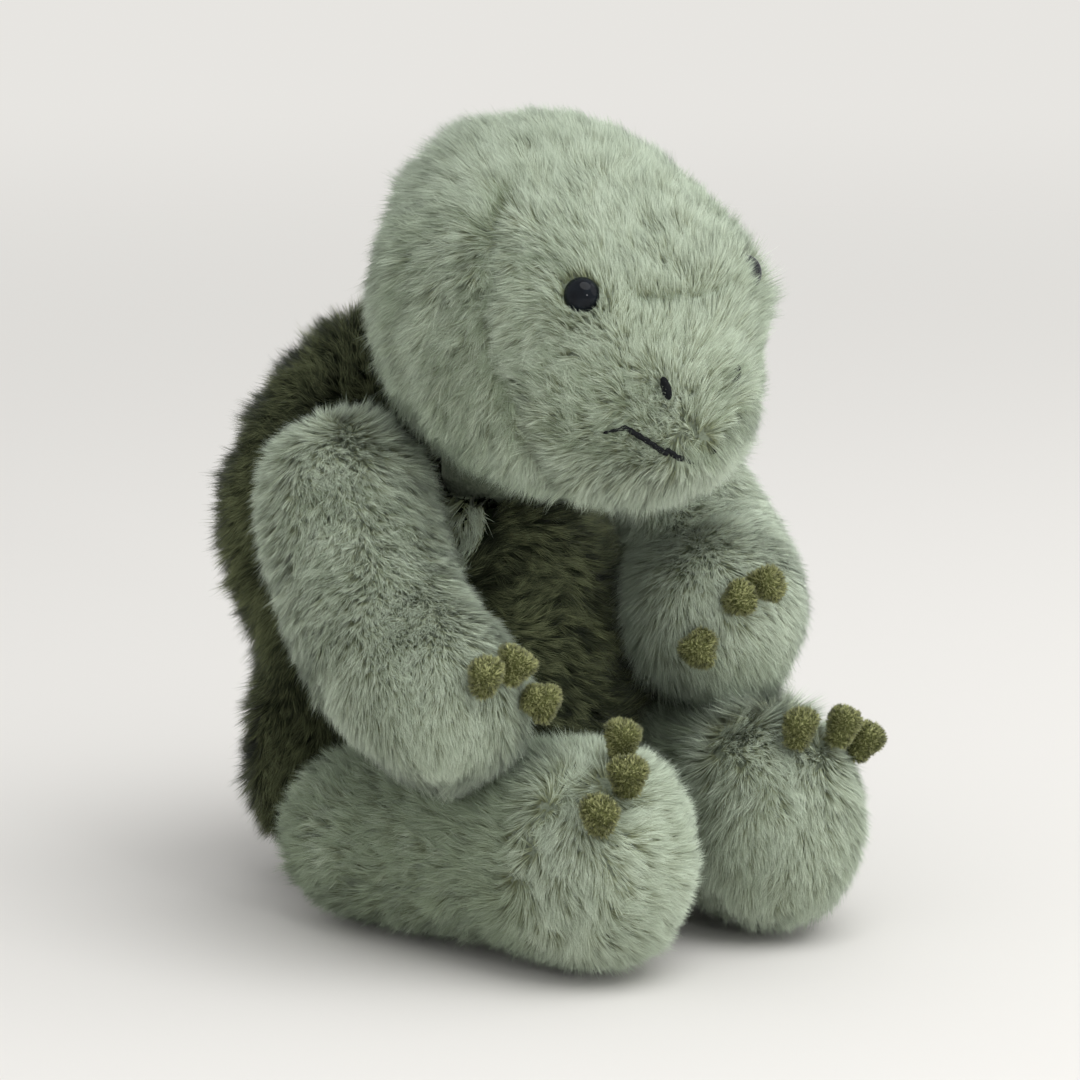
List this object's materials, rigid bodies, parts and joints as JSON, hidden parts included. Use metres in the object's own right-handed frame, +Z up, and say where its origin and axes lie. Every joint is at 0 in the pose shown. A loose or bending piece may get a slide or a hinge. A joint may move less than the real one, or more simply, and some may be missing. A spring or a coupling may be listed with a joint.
{
  "type": "plush turtle",
  "caption": "Seated plush turtle with a drooping round head, long arms and legs, claws and a padded shell; head and limbs turn at their sewn joints.",
  "frame": {"origin": "middle of the seat's flat underside, on the floor", "axes": "+Z up, the turtle faces -Y, its right side is -X"},
  "size_m": [0.2306, 0.2429, 0.3011],
  "materials": {
    "sage_fur": "long soft pile",
    "dark_green_fur": "long shaggy pile",
    "olive_plush": "short nap",
    "black_button": "polished",
    "black_thread": "satin stitch",
    "white_fibre": "loose fibre",
    "clear_plastic": "moulded"
  },
  "bodies": {
    "trunk": {"trunk_cover": "sage_fur", "belly_panel": "dark_green_fur", "trunk_filling": "white_fibre", "shell_cover": "dark_green_fur", "shell_padding": "white_fibre"},
    "neck": {"neck": "sage_fur"},
    "head": {"head_cover": "sage_fur", "head_filling": "white_fibre", "right_eye": "black_button", "left_eye": "black_button", "right_eye_washer": "clear_plastic", "left_eye_washer": "clear_plastic", "right_nostril_stitch": "black_thread", "left_nostril_stitch": "black_thread", "mouth_stitch": "black_thread"},
    "right_arm": {"right_arm_cover": "sage_fur", "right_arm_filling": "white_fibre", "right_hand_claw_1": "olive_plush", "right_hand_claw_2": "olive_plush", "right_hand_claw_3": "olive_plush"},
    "right_leg": {"right_leg_cover": "sage_fur", "right_leg_filling": "white_fibre", "right_foot_claw_1": "olive_plush", "right_foot_claw_2": "olive_plush", "right_foot_claw_3": "olive_plush"},
    "left_arm": {"left_arm_cover": "sage_fur", "left_arm_filling": "white_fibre", "left_hand_claw_1": "olive_plush", "left_hand_claw_2": "olive_plush", "left_hand_claw_3": "olive_plush"},
    "left_leg": {"left_leg_cover": "sage_fur", "left_leg_filling": "white_fibre", "left_foot_claw_1": "olive_plush", "left_foot_claw_2": "olive_plush", "left_foot_claw_3": "olive_plush"}
  },
  "joints": [
    {"name": "head_turn", "type": "hinge", "parent": "trunk", "child": "neck", "pos_m": [0, -0.014, 0.166], "axis": [0, 0, 1], "range_deg": [-12, 12]},
    {"name": "head_nod", "type": "hinge", "parent": "neck", "child": "head", "pos_m": [0, -0.014, 0.166], "axis": [-1, 0, 0], "range_deg": [0, 12]},
    {"name": "right_shoulder", "type": "hinge", "parent": "trunk", "child": "right_arm", "pos_m": [-0.072, -0.008, 0.16], "axis": [-0.6917, 0.2075, -0.6917], "range_deg": [0, 70]},
    {"name": "left_shoulder", "type": "hinge", "parent": "trunk", "child": "left_arm", "pos_m": [0.072, -0.008, 0.16], "axis": [-0.6917, -0.2075, 0.6917], "range_deg": [0, 70]},
    {"name": "right_hip", "type": "hinge", "parent": "trunk", "child": "right_leg", "pos_m": [-0.062, -0.012, 0.0335], "axis": [0.1834, -0.9782, 0.0978], "range_deg": [-25, 4]},
    {"name": "left_hip", "type": "hinge", "parent": "trunk", "child": "left_leg", "pos_m": [0.062, -0.012, 0.0335], "axis": [-0.1834, -0.9782, 0.0978], "range_deg": [-4, 25]}
  ]
}
